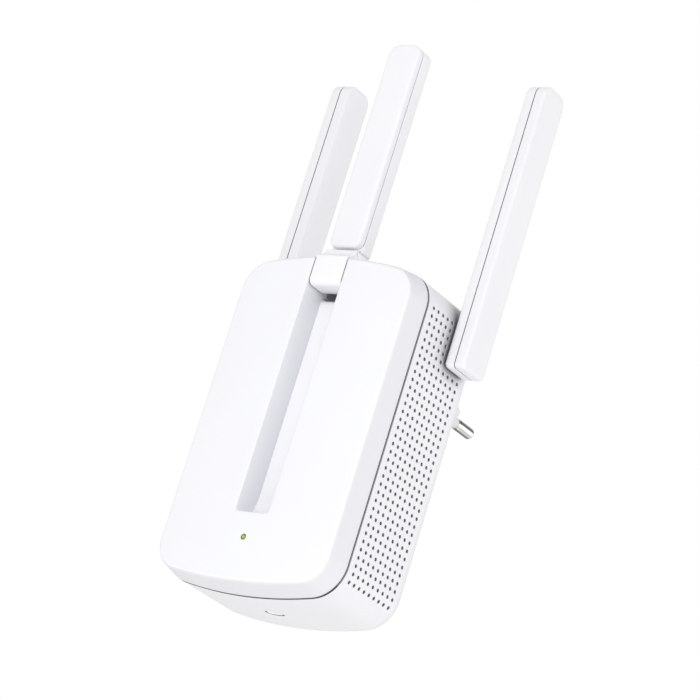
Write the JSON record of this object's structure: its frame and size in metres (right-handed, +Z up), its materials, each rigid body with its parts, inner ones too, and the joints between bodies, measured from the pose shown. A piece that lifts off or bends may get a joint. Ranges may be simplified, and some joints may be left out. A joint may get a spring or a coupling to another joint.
{
  "type": "wifi range extender",
  "caption": "Plug-in range extender with a bowed front cover, a vented rear housing, folding blade antennas at both sides and in a front bay, and a flat plug behind.",
  "frame": {"origin": "middle of the plug face, halfway between the two pins", "axes": "+Y out of the plug into the wall socket, +Z up along the body and the raised antennas, +X to the right seen from the front"},
  "size_m": [0.087, 0.0853, 0.1899],
  "materials": {
    "antenna_white": "fine matte moulded plastic",
    "button_white": "matte moulded plastic",
    "capacitor_sleeve": "shrunk dark sleeve",
    "chip_black": "moulded epoxy",
    "coil_tape": "yellow polyester tape",
    "cover_white": "satin moulded plastic",
    "ferrite": "sintered ferrite",
    "fuse_body": "brown moulded case",
    "housing_white": "fine matte moulded plastic",
    "knuckle_white": "smooth moulded plastic",
    "led_green": "clear green resin",
    "light_pipe_clear": "tinted clear acrylic, lit from behind",
    "main_board_green": "green solder mask",
    "pin_nickel": "nickel-plated brass",
    "plug_white": "fine matte moulded plastic",
    "power_board_green": "varnished paper laminate",
    "radiator_board": "green solder mask with a copper track",
    "screw_steel": "zinc-plated steel",
    "sleeve_white": "smooth insulating plastic",
    "switch_grey": "moulded nylon",
    "tinned_steel": "tinned steel sheet"
  },
  "bodies": {
    "body": {"board_connector": "chip_black", "bulk_capacitors": "capacitor_sleeve", "button_switch": "chip_black", "front_cover": "cover_white", "light_pipe": "light_pipe_clear", "main_board": "main_board_green", "main_board_screws": "screw_steel", "mains_fuse": "fuse_body", "memory_chip": "chip_black", "output_capacitor": "capacitor_sleeve", "pin_sleeve_left": "sleeve_white", "pin_sleeve_right": "sleeve_white", "plug_block": "plug_white", "plug_pin_left": "pin_nickel", "plug_pin_right": "pin_nickel", "power_board": "power_board_green", "power_board_screws": "screw_steel", "rear_housing": "housing_white", "rectifier": "chip_black", "status_led": "led_green", "transformer_coil": "coil_tape", "transformer_core": "ferrite", "wifi_processor": "chip_black", "wifi_shield": "tinned_steel"},
    "left_antenna": {"left_antenna_clip": "screw_steel", "left_antenna_inner_shell": "antenna_white", "left_antenna_outer_shell": "antenna_white", "left_antenna_radiator": "radiator_board"},
    "right_antenna": {"right_antenna_clip": "screw_steel", "right_antenna_inner_shell": "antenna_white", "right_antenna_outer_shell": "antenna_white", "right_antenna_radiator": "radiator_board"},
    "centre_antenna": {"centre_antenna_front_shell": "antenna_white", "centre_antenna_knuckle": "knuckle_white", "centre_antenna_radiator": "radiator_board", "centre_antenna_rear_shell": "antenna_white"},
    "button": {"button_cap": "button_white", "switch_plunger": "switch_grey"}
  },
  "joints": [
    {"name": "left_antenna_hinge", "type": "hinge", "parent": "body", "child": "left_antenna", "pos_m": [-0.0345, -0.0346, 0.0097], "axis": [1, 0, 0], "range_deg": [0, 180]},
    {"name": "right_antenna_hinge", "type": "hinge", "parent": "body", "child": "right_antenna", "pos_m": [0.0345, -0.0346, 0.0097], "axis": [1, 0, 0], "range_deg": [0, 180]},
    {"name": "centre_antenna_hinge", "type": "hinge", "parent": "body", "child": "centre_antenna", "pos_m": [0, -0.0598, 0.0222], "axis": [1, 0, 0], "range_deg": [0, 180]},
    {"name": "button_slide", "type": "slide", "parent": "body", "child": "button", "axis": [0, 0, 1], "range_m": [0, 0.0004], "stiffness_N_per_m": 800, "springref_m": -0.0003}
  ]
}
